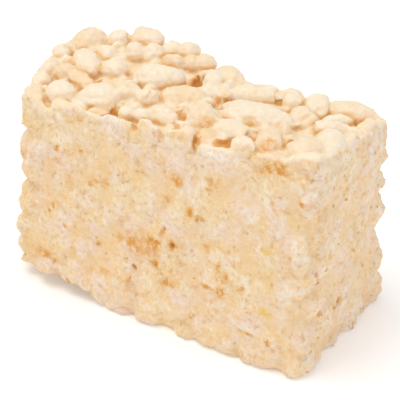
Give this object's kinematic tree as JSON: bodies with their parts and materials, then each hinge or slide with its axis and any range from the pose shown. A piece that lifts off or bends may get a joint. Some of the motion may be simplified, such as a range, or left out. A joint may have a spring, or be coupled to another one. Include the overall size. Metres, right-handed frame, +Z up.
{
  "type": "marshmallow square",
  "caption": "Knife-cut block of puffed rice bound with marshmallow, with whole grains on top and crumbly cut sides.",
  "frame": {"origin": "on the surface it stands on, under the middle of the block's box", "axes": "+X along the block's length, +Y to the back long side, +Z up"},
  "size_m": [0.0518, 0.0261, 0.0336],
  "materials": {
    "puffed_rice": "pale cream puffed grains in a thin film of marshmallow, waxy on top and crumbly where cut"
  },
  "bodies": {
    "root": {"marshmallow_square": "puffed_rice"}
  },
  "joints": []
}
